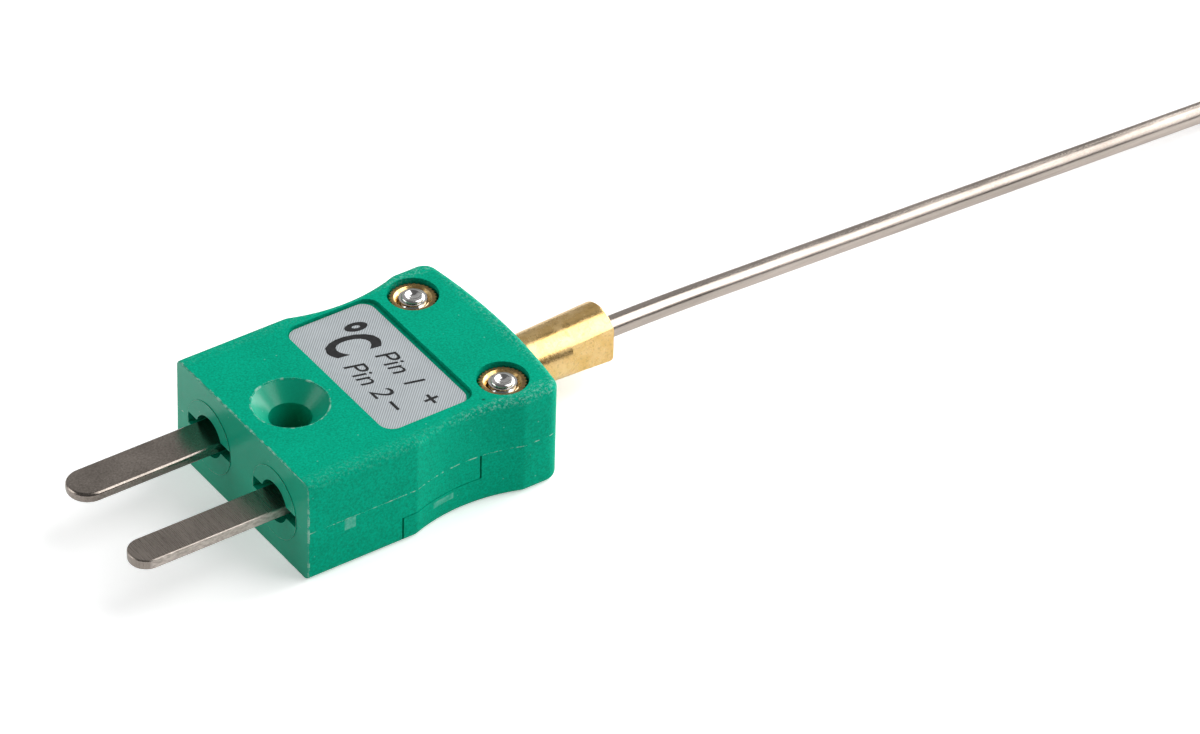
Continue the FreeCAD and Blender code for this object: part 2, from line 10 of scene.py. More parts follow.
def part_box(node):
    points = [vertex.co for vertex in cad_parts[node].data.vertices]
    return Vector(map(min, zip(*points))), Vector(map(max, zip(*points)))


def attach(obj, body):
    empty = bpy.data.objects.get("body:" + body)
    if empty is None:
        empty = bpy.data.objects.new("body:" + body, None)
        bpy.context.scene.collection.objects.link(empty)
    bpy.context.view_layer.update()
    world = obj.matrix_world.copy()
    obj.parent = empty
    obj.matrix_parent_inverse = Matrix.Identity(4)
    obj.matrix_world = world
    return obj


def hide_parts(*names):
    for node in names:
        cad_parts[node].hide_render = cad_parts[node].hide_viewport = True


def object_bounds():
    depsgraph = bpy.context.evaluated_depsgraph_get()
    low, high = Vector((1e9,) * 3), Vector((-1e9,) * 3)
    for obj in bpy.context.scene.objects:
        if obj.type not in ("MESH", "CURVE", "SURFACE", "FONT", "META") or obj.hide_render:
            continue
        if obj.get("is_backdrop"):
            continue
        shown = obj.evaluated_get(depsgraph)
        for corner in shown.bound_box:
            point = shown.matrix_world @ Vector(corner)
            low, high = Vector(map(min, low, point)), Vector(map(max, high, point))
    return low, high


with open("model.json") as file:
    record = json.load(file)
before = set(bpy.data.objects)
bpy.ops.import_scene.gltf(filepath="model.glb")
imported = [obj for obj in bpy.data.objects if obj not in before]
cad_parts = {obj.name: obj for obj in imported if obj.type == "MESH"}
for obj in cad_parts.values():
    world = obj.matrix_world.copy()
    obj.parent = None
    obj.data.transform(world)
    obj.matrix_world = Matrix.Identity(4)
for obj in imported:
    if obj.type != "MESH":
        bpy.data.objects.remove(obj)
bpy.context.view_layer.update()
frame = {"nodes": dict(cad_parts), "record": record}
record = frame["record"]
nodes = frame["nodes"]
MM = 0.001


# --- plug moulding and rear cap --------------------------------------------------
# Both halves are injection moulded from one green glass-filled thermoplastic in a
# spark-eroded tool: a fine even satin, paler where edges were rubbed or flash broke
# off.  The cap is held by two screws; both keep the shape that the frame gives them.
plug_low, plug_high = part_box("body_moulding")
PLUG_TOP = plug_high.z
PLUG_HALF = plug_high.y
PLUG_REAR = plug_high.x
mounts = {mount["name"]: mount for mount in record["mounts"]}
HOLE = Vector(mounts["fixing_hole"]["pos_m"])
COUNTERSINK_RADIUS = 2.6 * MM
WAIST_MIDDLE = 12.6 * MM
GATE_MARK = ((2.8, 3.65), (-0.9, -0.05))      # millimetres along and up
PIN_MARK = ((10.0, 11.7), (-2.6, -2.15))
POLISHED_ROUGHNESS = 0.27
GREEN = (0.0, 0.42, 0.254, 1)
GREEN_DEEP = (0.0, 0.275, 0.163, 1)
GREEN_RUBBED = (0.16, 0.52, 0.4, 1)
GREEN_FLASH = (0.42, 0.66, 0.56, 1)
DIRT = (0.004, 0.05, 0.035, 1)


def add_node(tree, kind, settings=None, **inputs):
    """Shader node; an input given as a socket is linked, any other is set as a value."""
    new = tree.nodes.new("ShaderNode" + kind)
    for key, value in (settings or {}).items():
        setattr(new, key, value)
    for key, value in inputs.items():
        socket = new.inputs[int(key[1:])] if key[0] == "_" else new.inputs[key.replace("_", " ")]
        if isinstance(value, bpy.types.NodeSocket):
            tree.links.new(value, socket)
        else:
            socket.default_value = value
    return new


def new_material(name, **sockets):
    """Empty Principled material: returns it, its tree, its shader and its place socket."""
    material = bpy.data.materials.new(name)
    material.use_nodes = True
    tree = material.node_tree
    shader = tree.nodes["Principled BSDF"]
    for key, value in sockets.items():
        shader.inputs[key.replace("_", " ")].default_value = value
    place = add_node(tree, "TexCoord").outputs["Object"]
    return material, tree, shader, place


def math_node(tree, operation, first, second=0.0, third=0.0):
    return add_node(tree, "Math", {"operation": operation}, _0=first, _1=second,
                    _2=third).outputs[0]


def times(tree, first, second):
    return math_node(tree, "MULTIPLY", first, second)


def weighted(tree, first, first_share, second, second_share):
    """Sum of two values, each times its share."""
    if first_share != 1.0:
        first = times(tree, first, first_share)
    return math_node(tree, "ADD", first, times(tree, second, second_share))


def noise(tree, place, scale, stretch=(1, 1, 1), detail=3.0, rough=0.55):
    """Fractal noise from 0 to 1; stretch multiplies the frequency along each axis."""
    mapped = add_node(tree, "Mapping", Vector=place, Scale=stretch).outputs[0]
    return add_node(tree, "TexNoise", Vector=mapped, Scale=scale, Detail=detail,
                    Roughness=rough).outputs["Fac"]


def remap(tree, value, low, high, to_low=0.0, to_high=1.0):
    """Straight-line change of range, held at both ends."""
    return add_node(tree, "MapRange", {"clamp": True}, Value=value, From_Min=low, From_Max=high,
                    To_Min=to_low, To_Max=to_high).outputs["Result"]


def mix_colour(tree, factor, first, second):
    return add_node(tree, "Mix", {"data_type": "RGBA"}, Factor=factor, _6=first,
                    _7=second).outputs[2]


def mix_value(tree, factor, first, second):
    return add_node(tree, "Mix", {"data_type": "FLOAT"}, Factor=factor, _2=first,
                    _3=second).outputs[0]


def near(tree, value, middle, width):
    """One where value lies within width of middle, falling to nothing at twice that."""
    away = math_node(tree, "ABSOLUTE", math_node(tree, "SUBTRACT", value, middle))
    return remap(tree, away, width, 2 * width, 1, 0)


def distance(tree, along, across, x, y):
    """Distance from an upright line through x and y."""
    reach = add_node(tree, "CombineXYZ", X=math_node(tree, "SUBTRACT", along, x),
                     Y=math_node(tree, "SUBTRACT", across, y)).outputs[0]
    return add_node(tree, "VectorMath", {"operation": "LENGTH"}, _0=reach).outputs["Value"]


def patch(tree, first, second, bounds):
    """One inside a rectangle given in millimetres, with soft sides."""
    inside = 1.0
    for value, (low, high) in zip((first, second), bounds):
        middle, half = (low + high) / 2 * MM, (high - low) / 2 * MM
        away = math_node(tree, "ABSOLUTE", math_node(tree, "SUBTRACT", value, middle))
        band = remap(tree, away, half - 0.03 * MM, half + 0.03 * MM, 1, 0)
        inside = times(tree, inside, band)
    return inside


def add_bump(tree, shader, height, distance, strength=1.0):
    bump = add_node(tree, "Bump", Height=height, Distance=distance, Strength=strength)
    tree.links.new(bump.outputs[0], shader.inputs["Normal"])
    return bump


def on_sides(tree, side):
    """One on the plug's two side faces, down to the floor of the waist."""
    return remap(tree, side, PLUG_HALF - 1.2 * MM, PLUG_HALF - 1.1 * MM)


def tool_polish(tree, along, upright, from_axis):
    """One on the mating face and in the countersink, which the tool left polished."""
    inside = remap(tree, from_axis, COUNTERSINK_RADIUS - 0.08 * MM,
                   COUNTERSINK_RADIUS - 0.04 * MM, 1, 0)
    below = remap(tree, upright, PLUG_TOP - 0.05 * MM, PLUG_TOP - 0.02 * MM, 1, 0)
    face = remap(tree, along, 0.05 * MM, 0.09 * MM, 1, 0)
    return math_node(tree, "MAXIMUM", times(tree, inside, below), face)


def scuffed_edges(tree, place, along, side, up):
    """Streaks rubbed along the labelled side's long edges behind the waist and its rear."""
    edge = times(tree, remap(tree, up, PLUG_TOP - 0.6 * MM, PLUG_TOP - 0.25 * MM),
                 remap(tree, side, PLUG_HALF - 1.25 * MM, PLUG_HALF - 0.8 * MM))
    behind = remap(tree, along, WAIST_MIDDLE - 1.6 * MM, WAIST_MIDDLE + 0.6 * MM, 0.25, 1)
    rear = times(tree, remap(tree, up, PLUG_TOP - 0.6 * MM, PLUG_TOP - 0.2 * MM),
                 remap(tree, along, PLUG_REAR - 1.2 * MM, PLUG_REAR - 0.6 * MM, 0, 0.7))
    worn = math_node(tree, "MAXIMUM", times(tree, edge, behind), rear)
    streak = noise(tree, place, 4600, detail=4.0, rough=0.75)
    return times(tree, worn, remap(tree, streak, 0.5, 0.62))


def mould_marks(tree, along, side, up, broken):
    """Pale rough patches that the gate and an ejector pin left on each side."""
    marks = math_node(tree, "MAXIMUM", patch(tree, along, up, GATE_MARK),
                      patch(tree, along, up, PIN_MARK))
    marks = times(tree, marks, remap(tree, broken, 0.38, 0.6, 0.2, 0.75))
    return times(tree, marks, on_sides(tree, side))


def broken_flash(tree, along, side, up, upright, from_axis, broken):
    """Roots of flash that broke off: mating edges, countersink rim and split line."""
    rim = times(tree, near(tree, from_axis, COUNTERSINK_RADIUS, 0.045 * MM),
                remap(tree, up, PLUG_TOP - 0.12 * MM, PLUG_TOP - 0.06 * MM))
    outline = math_node(tree, "MAXIMUM",
                        remap(tree, side, PLUG_HALF - 0.12 * MM, PLUG_HALF - 0.05 * MM),
                        remap(tree, upright, PLUG_TOP - 0.12 * MM, PLUG_TOP - 0.05 * MM))
    mating = times(tree, outline, remap(tree, along, 0.1 * MM, 0.14 * MM, 1, 0))
    split = times(tree, near(tree, up, 0.0, 0.025 * MM), on_sides(tree, side))
    roots = math_node(tree, "MAXIMUM", math_node(tree, "MAXIMUM", rim, mating), split)
    return times(tree, roots, remap(tree, broken, 0.5, 0.62))


def stray_specks(tree, place, colour):
    """A few pale specks over a colour, and fewer dark ones."""
    cells = add_node(tree, "TexVoronoi", Vector=place, Scale=800.0)
    pale = remap(tree, cells.outputs["Distance"], 0.03, 0.06, 0.5, 0)
    colour = mix_colour(tree, pale, colour, GREEN_RUBBED)
    dark_cells = add_node(tree, "TexVoronoi", Vector=place, Scale=190.0, Randomness=0.9)
    dark = remap(tree, dark_cells.outputs["Distance"], 0.016, 0.03, 0.8, 0)
    return mix_colour(tree, dark, colour, DIRT)


def green_plastic():
    """Moulded green: grain and specks everywhere, rubbed pale along edges and the split."""
    material, tree, shader, place = new_material("green_moulding")
    along, across, up = add_node(tree, "SeparateXYZ", Vector=place).outputs
    side = math_node(tree, "ABSOLUTE", across)
    upright = math_node(tree, "ABSOLUTE", up)
    from_axis = distance(tree, along, across, HOLE.x, 0)
    grain = noise(tree, place, 7600, detail=2.0)
    flow = noise(tree, place, 260, detail=2.0)
    broken = noise(tree, place, 1700, detail=5.0, rough=0.7)
    polished = tool_polish(tree, along, upright, from_axis)
    scuffed = scuffed_edges(tree, place, along, side, up)
    marks = mould_marks(tree, along, side, up, broken)
    flash = broken_flash(tree, along, side, up, upright, from_axis, broken)
    tone = weighted(tree, grain, 0.8, flow, 0.2)
    tone = mix_value(tree, times(tree, polished, 0.8), tone, 0.5)
    colour = mix_colour(tree, remap(tree, tone, 0.36, 0.64), GREEN_DEEP, GREEN)
    colour = mix_colour(tree, times(tree, scuffed, 0.8), colour, GREEN_RUBBED)
    colour = mix_colour(tree, marks, colour, GREEN_RUBBED)
    colour = mix_colour(tree, times(tree, flash, 0.7), colour, GREEN_FLASH)
    colour = stray_specks(tree, place, colour)
    tree.links.new(colour, shader.inputs["Base Color"])
    satin = remap(tree, grain, 0.3, 0.7, 0.42, 0.58)
    rough = mix_value(tree, polished, satin, POLISHED_ROUGHNESS)
    tree.links.new(rough, shader.inputs["Roughness"])
    tree.links.new(remap(tree, polished, 0, 1, 0.025, 0.3), shader.inputs["Specular IOR Level"])
    relief = weighted(tree, grain, 1.0, scuffed, 0.8)
    relief = weighted(tree, relief, 1.0, marks, 0.8)
    relief = times(tree, relief, remap(tree, polished, 0, 1, 1, 0.06))
    add_bump(tree, shader, relief, 0.02 * MM, 0.6)
    return material


def dress(node_name, material):
    """Gives a frame node its finish."""
    slots = nodes[node_name].data.materials
    slots.clear()
    slots.append(material)


green = green_plastic()
dress("body_moulding", green)
dress("rear_cap", green)


# --- moulding flash ----------------------------------------------------------------
# Thin ragged burrs left where the tool halves and cores met: round the mating face,
# round both blade bosses, on the countersink's rim and along the split line.
LONG_EDGE = 0.5 * MM
BOSS_RADIUS = 2.6 * MM
BURR_WAVES = (2, 9, 43)      # points from knot to knot of the three random runs
BURR_HAIR = 0.12             # least share of a burr's radius
BURR_CLOSING = 12            # points over which a closed burr returns to its start
CIRCLE_POINTS = 160
MATING_POINTS = 520
SPLIT_POINTS = 90
MERGE_REACH = 2e-7
SLIVER = 1e-7
FLASH_DEEP = (0.1, 0.42, 0.3, 1)
random = np.random.default_rng(11)


def merged_mesh(name, grids, material, sharp_degrees=40):
    """One mesh from point grids.

    Each grid is (points, wrap): points has rows, columns and x y z; wrap closes the
    columns.  Coincident points are merged, so seams and poles close, and faces are
    turned outwards.
    """
    vertices = []
    faces = []
    start = 0
    for points, wrap in grids:
        rows, columns = points.shape[:2]
        index = start + np.arange(rows * columns).reshape(rows, columns)
        if wrap:
            index = np.concatenate([index, index[:, :1]], axis=1)
        quads = np.stack([index[:-1, :-1], index[1:, :-1], index[1:, 1:], index[:-1, 1:]], axis=-1)
        vertices.append(points.reshape(-1, 3))
        faces.append(quads.reshape(-1, 4))
        start += rows * columns
    mesh = bpy.data.meshes.new(name)
    mesh.from_pydata(np.concatenate(vertices).tolist(), [], np.concatenate(faces).tolist())
    work = bmesh.new()
    work.from_mesh(mesh)
    bmesh.ops.remove_doubles(work, verts=work.verts, dist=MERGE_REACH)
    bmesh.ops.dissolve_degenerate(work, edges=work.edges, dist=SLIVER)
    bmesh.ops.recalc_face_normals(work, faces=work.faces)
    work.to_mesh(mesh)
    work.free()
    mesh.materials.append(material)
    mesh.shade_smooth()
    mesh.set_sharp_from_angle(angle=math.radians(sharp_degrees))
    piece = bpy.data.objects.new(name, mesh)
    bpy.context.scene.collection.objects.link(piece)
    return piece


def burr(path, closed, size, gaps):
    """Six-sided thread along a path, its radius rising and vanishing at random.

    The radius at each point is size times the mean of three random runs, of short, middle
    and long waves; where that falls under gaps the burr is only a hair.
    """
    count = len(path)
    run = 0
    for spacing in BURR_WAVES:
        knots = random.random(count // spacing + 2)
        places = np.linspace(0, len(knots) - 1, count)
        run = run + np.interp(places, np.arange(len(knots)), knots) / len(BURR_WAVES)
    if closed:
        blend = np.minimum(1, np.arange(count)[::-1] / BURR_CLOSING)
        run = run * blend + run[0] * (1 - blend)
    radius = size * np.clip((run - gaps) / (1 - gaps), BURR_HAIR, 1)
    if not closed:
        radius[[0, -1]] = 0
    ahead = np.roll(path, -1, axis=0) - np.roll(path, 1, axis=0)
    if not closed:
        ahead[0], ahead[-1] = path[1] - path[0], path[-1] - path[-2]
    ahead /= np.linalg.norm(ahead, axis=1, keepdims=True)
    askew = np.array([0.31, 0.52, 0.8])
    side = np.cross(ahead, askew)
    side /= np.linalg.norm(side, axis=1, keepdims=True)
    other = np.cross(ahead, side)
    turn = np.arange(6) * math.pi / 3
    ring = side[:, None] * np.cos(turn)[None, :, None] + other[:, None] * np.sin(turn)[None, :, None]
    points = path[:, None] + ring * radius[:, None, None]
    if closed:
        points = np.concatenate([points, points[:1]])
    return points, True


def circle_path(middle, radius, plane_axes):
    """Points evenly round a circle in the plane of two axes."""
    turn = np.linspace(0, 2 * math.pi, CIRCLE_POINTS, endpoint=False)
    path = np.tile(np.array(middle, float), (CIRCLE_POINTS, 1))
    path[:, plane_axes[0]] += radius * np.cos(turn)
    path[:, plane_axes[1]] += radius * np.sin(turn)
    return path


def mating_edge_path():
    """Rounded rectangle round the mating face: four quarter circles joined by straights."""
    turn = np.linspace(0, math.pi / 2, 6)
    inset = 0.03 * MM
    corners = [(1, 1, 0.0), (-1, 1, 0.5), (-1, -1, 1.0), (1, -1, 1.5)]
    outline = []
    for y_sign, z_sign, quarter in corners:
        angle = turn + quarter * math.pi
        outline.append(np.stack([
            y_sign * (PLUG_HALF - LONG_EDGE) + (LONG_EDGE - inset) * np.cos(angle),
            z_sign * (PLUG_TOP - LONG_EDGE) + (LONG_EDGE - inset) * np.sin(angle)], axis=1))
    outline = np.concatenate(outline + [outline[0][:1]])
    travelled = np.concatenate([[0], np.cumsum(np.linalg.norm(np.diff(outline, axis=0), axis=1))])
    stations = np.linspace(0, travelled[-1], MATING_POINTS, endpoint=False)
    return np.stack([np.full(MATING_POINTS, inset), np.interp(stations, travelled, outline[:, 0]),
                     np.interp(stations, travelled, outline[:, 1])], axis=1)


def split_path(side, first, last):
    """Straight run of the tool's split on one side of the plug, in front of the waist."""
    x = np.linspace(first, last, SPLIT_POINTS)
    return np.stack([x, np.full(SPLIT_POINTS, side * PLUG_HALF), np.zeros(SPLIT_POINTS)], axis=1)


def flash_material():
    """Torn plastic: pale and dull, with a trace of green."""
    material, tree, shader, place = new_material("torn_flash", Specular_IOR_Level=0.2)
    patches = noise(tree, place, 2500)
    colour = mix_colour(tree, remap(tree, patches, 0.35, 0.65), FLASH_DEEP, GREEN_FLASH)
    tree.links.new(colour, shader.inputs["Base Color"])
    tree.links.new(remap(tree, patches, 0.3, 0.7, 0.6, 0.85), shader.inputs["Roughness"])
    return material


blade_boxes = {pole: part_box("blade_" + pole) for pole in ("negative", "positive")}
burrs = [
    burr(mating_edge_path(), True, 0.036 * MM, 0.42),
    burr(circle_path((HOLE.x, 0, PLUG_TOP), COUNTERSINK_RADIUS, (0, 1)), True, 0.028 * MM, 0.6),
    burr(split_path(-1, 1.2 * MM, 7.2 * MM), False, 0.022 * MM, 0.5),
    burr(split_path(1, 1.6 * MM, 6.6 * MM), False, 0.022 * MM, 0.5),
]
for blade_low, blade_high in blade_boxes.values():
    boss_middle = (plug_low.x, (blade_low.y + blade_high.y) / 2, 0)
    burrs.append(burr(circle_path(boss_middle, BOSS_RADIUS, (1, 2)), True, 0.016 * MM, 0.3))
flash = merged_mesh("moulding_flash", burrs, flash_material())
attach(flash, "root")


# --- blades ------------------------------------------------------------------------
# Stamped flat pins of the two thermocouple alloys.  The wide negative one is tumbled,
# so it is dull, dark and soft at its edges.  The narrow positive one keeps fine grinding
# lines across its faces and torn grey sides from the press tool.
ALLOY_DARK = (0.4, 0.35, 0.31, 1)
ALLOY_DEEP = (0.24, 0.208, 0.182, 1)
ALLOY_PALE = (0.6, 0.54, 0.49, 1)


def tumbled_alloy():
    """Dark tumbled metal: soft blotches and an even frost of tiny pits."""
    material, tree, shader, place = new_material("tumbled_alloy", Metallic=1.0)
    blotch = noise(tree, place, 420, detail=3.0)
    pits = noise(tree, place, 7000, detail=3.0, rough=0.7)
    tone = weighted(tree, blotch, 0.35, pits, 0.65)
    colour = mix_colour(tree, remap(tree, tone, 0.38, 0.62), ALLOY_DEEP, ALLOY_DARK)
    sparks = remap(tree, pits, 0.68, 0.76, 0, 0.5)
    tree.links.new(mix_colour(tree, sparks, colour, ALLOY_PALE), shader.inputs["Base Color"])
    tree.links.new(remap(tree, blotch, 0.3, 0.7, 0.2, 0.27), shader.inputs["Roughness"])
    add_bump(tree, shader, pits, 0.004 * MM, 0.6)
    return material


def ground_alloy(low, high):
    """Metal ground across its width, with pale torn sides."""
    material, tree, shader, place = new_material("ground_alloy", Metallic=1.0)
    lines = noise(tree, place, 1000, stretch=(19.0, 0.5, 1.0), detail=3.0, rough=0.75)
    blotch = noise(tree, place, 300)
    torn = noise(tree, place, 3800, stretch=(0.8, 1.0, 1.6), detail=4.0)
    across = add_node(tree, "SeparateXYZ", Vector=place).outputs[1]
    middle = (low.y + high.y) / 2
    away = math_node(tree, "ABSOLUTE", math_node(tree, "SUBTRACT", across, middle))
    half = (high.y - low.y) / 2
    flank = remap(tree, away, half - 0.09 * MM, half - 0.03 * MM)
    tone = weighted(tree, lines, 0.7, blotch, 0.3)
    face = mix_colour(tree, remap(tree, tone, 0.34, 0.66), ALLOY_DEEP, ALLOY_DARK)
    side = mix_colour(tree, remap(tree, torn, 0.38, 0.6), ALLOY_DARK, ALLOY_PALE)
    tree.links.new(mix_colour(tree, flank, face, side), shader.inputs["Base Color"])
    smooth = remap(tree, lines, 0.35, 0.65, 0.24, 0.34)
    tree.links.new(weighted(tree, smooth, 1.0, flank, 0.16), shader.inputs["Roughness"])
    add_bump(tree, shader, mix_value(tree, flank, lines, torn), 0.006 * MM, 0.7)
    return material


dress("blade_negative", tumbled_alloy())
dress("blade_positive", ground_alloy(*blade_boxes["positive"]))


# --- brass inserts -------------------------------------------------------------------
# Two turned brass bushes, knurled outside and threaded inside, pressed warm into the
# body.  Their faces sit a little below the plastic and a bright chamfer leads the screw in.
INSERT_TEETH = 30
TOOTH_COLUMNS = 8
TOOTH_DEPTH = 0.14 * MM
INSERT_CHAMFER = 0.25 * MM
INSERT_BORE = 1.0 * MM
INSERT_BEVEL = 0.06 * MM
FACE_BREAK = (0.03 * MM, 0.015 * MM)     # width and drop where the chamfer meets the face
BRASS = (0.76, 0.49, 0.17, 1)
BRASS_PALE = (0.88, 0.62, 0.29, 1)
# dull brass below serves two things: grime specks on all turned brass, and the paler end of the painted
# shade on the insert faces; the brown after it is the darker end of that painted shade
BRASS_GRIME_AND_SHADE = (0.4, 0.26, 0.1, 1)
BRASS_PAINTED_SHADE = (0.24, 0.16, 0.07, 1)


def turned_brass(name, marks_along, grime):
    """Turned brass: tool marks round the turning axis, warm blotches, dull hollows."""
    material, tree, shader, place = new_material(name, Metallic=1.0)
    stretch = [0.5, 0.5, 0.5]
    stretch[marks_along] = 6.0
    marks = noise(tree, place, 1100, stretch=stretch, detail=3.0)
    blotch = noise(tree, place, 900, detail=4.0, rough=0.65)
    specks = noise(tree, place, 4200, detail=2.0)
    colour = mix_colour(tree, remap(tree, blotch, 0.35, 0.68), BRASS, BRASS_PALE)
    dull = times(tree, remap(tree, specks, 0.55, 0.72), grime)
    colour = mix_colour(tree, dull, colour, BRASS_GRIME_AND_SHADE)
    tree.links.new(colour, shader.inputs["Base Color"])
    tree.links.new(remap(tree, blotch, 0.3, 0.7, 0.2, 0.34), shader.inputs["Roughness"])
    add_bump(tree, shader, weighted(tree, marks, 1.0, specks, 0.8), 0.009 * MM, 0.7)
    return material


def lathe(profile, x, y, columns):
    """Surface of revolution about an upright line: profile rows are (radius, height)."""
    turn = np.linspace(0, 2 * math.pi, columns, endpoint=False)
    radius = profile[:, 0, None]
    return np.stack([x + radius * np.cos(turn), y + radius * np.sin(turn),
                     np.broadcast_to(profile[:, 1, None], (len(profile), columns))], axis=-1)


def knurled_bush(side, material):
    """Bush whose outer wall is a fine straight knurl.

    The radius of the outer rows is lowered by a triangle wave of the angle, one tooth
    to each period.
    """
    low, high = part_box("insert_" + side)
    x, y = (low.x + high.x) / 2, (low.y + high.y) / 2
    outer = (high.x - low.x) / 2
    cut = INSERT_BORE + INSERT_CHAMFER
    profile = np.array([
        (INSERT_BORE, low.z), (outer - INSERT_BEVEL, low.z), (outer, low.z + INSERT_BEVEL),
        (outer, high.z - INSERT_BEVEL), (outer - INSERT_BEVEL, high.z),
        (cut + FACE_BREAK[0], high.z), (cut, high.z - FACE_BREAK[1]),
        (INSERT_BORE, high.z - INSERT_CHAMFER), (INSERT_BORE, low.z)])
    columns = INSERT_TEETH * TOOTH_COLUMNS
    points = lathe(profile, x, y, columns)
    turn = np.linspace(0, INSERT_TEETH, columns, endpoint=False)
    tooth = np.abs(2 * (turn % 1) - 1)
    share = np.zeros(len(profile))
    share[1:5] = 1
    depth = TOOTH_DEPTH * share[:, None] * tooth[None, :]
    middle = np.array([x, y])
    outward = points[..., :2] - middle
    outward /= np.linalg.norm(outward, axis=-1, keepdims=True)
    points[..., :2] -= outward * depth[..., None]
    bush = merged_mesh("knurled_insert_" + side, [(points, True)], material, 28)
    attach(bush, "root")
    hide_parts("insert_" + side)


def bush_brass(side):
    """Turned brass with a bright cut chamfer, and painted shade: its end face and knurl are painted a
    mottled dark brown for the shade of the recess they sit in.
    """
    low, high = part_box("insert_" + side)
    material = turned_brass("insert_brass_" + side, marks_along=2, grime=0.8)
    tree = material.node_tree
    shader = tree.nodes["Principled BSDF"]
    place = tree.nodes["Texture Coordinate"].outputs["Object"]
    along, across, _ = add_node(tree, "SeparateXYZ", Vector=place).outputs
    reach = distance(tree, along, across, (low.x + high.x) / 2, (low.y + high.y) / 2)
    cut = INSERT_BORE + INSERT_CHAMFER
    # painted shade: beyond the chamfer the end face and knurl are painted a mottled dark brown for the
    # shade of the recess
    outside = remap(tree, reach, cut, cut + 0.06 * MM)
    plain = shader.inputs["Base Color"].links[0].from_socket
    mottle = noise(tree, place, 2600, detail=4.0)
    painted_shade = mix_colour(tree, remap(tree, mottle, 0.35, 0.65), BRASS_PAINTED_SHADE, BRASS_GRIME_AND_SHADE)
    tree.links.new(mix_colour(tree, outside, plain, painted_shade), shader.inputs["Base Color"])
    return material


for side in ("left", "right"):
    knurled_bush(side, bush_brass(side))


# --- screws ----------------------------------------------------------------------------
# Slotted steel screws, plated bright.  The two cap screws come up through the inserts
# from the underside and show their domed, dimpled ends on the labelled side.  The two
# terminal screws clamp the wires under the blades, inside.
THREAD_PITCH = 0.4 * MM
THREAD_DEPTH = 0.13 * MM
THREAD_FLANK = 1.6           # steepness of the wave before it is clipped
THREAD_CREST = 0.4           # how far it is lowered, which leaves flat crests
PITCH_ROWS = 10
DRIVE_SLOT_WIDTH = 0.4 * MM
DRIVE_SLOT_DEPTH = 0.4 * MM
HEAD_EDGE = 0.22 * MM
SHANK_COLUMNS = 64
SHANK_START = 0.1 * MM       # inside the head
END_HEIGHT = 0.26 * MM       # plain rolled end beyond the thread
END_SHARE = 0.84             # radius of the rolled end over the thread's
RIM_SHARE = 0.55             # radius of the dish over the thread's
CREST_HEIGHT = 0.06 * MM
NECK_INSET = 0.05 * MM
NECK_LEVEL = 0.17 * MM
ROLL_HEIGHT = 0.15 * MM
DISH_DEPTH = 0.19 * MM
CAP_SCREW = (1.9 * MM, 1.1 * MM, 0.95 * MM)          # head radius and height, shank radius
TERMINAL_SCREW = (1.35 * MM, 0.9 * MM, 0.75 * MM)
PLATING_GREY = (0.62, 0.61, 0.6, 1)
PLATING_BRIGHT = (0.8, 0.79, 0.77, 1)


def plated_steel():
    """Bright plating: almost mirror-like, with faint swirls and a little grey in the pits."""
    material, tree, shader, place = new_material("plated_steel", Metallic=1.0)
    swirl = noise(tree, place, 1600, stretch=(1, 1, 2.5), detail=4.0)
    pits = noise(tree, place, 6000, detail=2.0)
    colour = mix_colour(tree, remap(tree, swirl, 0.35, 0.65), PLATING_GREY, PLATING_BRIGHT)
    tree.links.new(colour, shader.inputs["Base Color"])
    tree.links.new(remap(tree, swirl, 0.3, 0.7, 0.1, 0.22), shader.inputs["Roughness"])
    add_bump(tree, shader, pits, 0.003 * MM, 0.5)
    return material


def threaded_shank(x, y, radius, low, high):
    """Threaded rod whose upper end has a rolled rim round a shallow dish.

    The radius falls from the crest by the thread depth times a clipped triangle wave of
    height over pitch less angle over a full turn.  The rim is a quarter ellipse, the
    dish a shallow bowl.
    """
    turn = np.linspace(0, 2 * math.pi, SHANK_COLUMNS, endpoint=False)
    heights = np.arange(low, high - END_HEIGHT, THREAD_PITCH / PITCH_ROWS)
    phase = (heights[:, None] / THREAD_PITCH - turn[None, :] / (2 * math.pi)) % 1
    valley = np.clip(THREAD_FLANK * np.abs(2 * phase - 1) - THREAD_CREST, 0, 1)
    wall = radius - THREAD_DEPTH * valley
    end = END_SHARE * radius
    rim = RIM_SHARE * radius
    crest = high - END_HEIGHT + CREST_HEIGHT
    neck = np.array([(radius, high - END_HEIGHT), (radius, crest), (end - NECK_INSET, crest),
                     (end - NECK_INSET, high - NECK_LEVEL)])
    swing = np.linspace(0, math.pi / 2, 9)
    roll = np.stack([rim + (end - rim) * np.cos(swing),
                     high - ROLL_HEIGHT + ROLL_HEIGHT * np.sin(swing)], axis=1)
    share = np.linspace(1, 0, 10)[1:]
    dish = np.stack([rim * share, high - DISH_DEPTH * (1 - share ** 2)], axis=1)
    ends = np.concatenate([neck, roll, dish])
    shank = np.stack([x + wall * np.cos(turn), y + wall * np.sin(turn),
                      np.broadcast_to(heights[:, None], wall.shape)], axis=-1)
    foot = np.broadcast_to(np.array([x, y, low]), (1, SHANK_COLUMNS, 3))
    return np.concatenate([foot, shank, lathe(ends, x, y, SHANK_COLUMNS)])


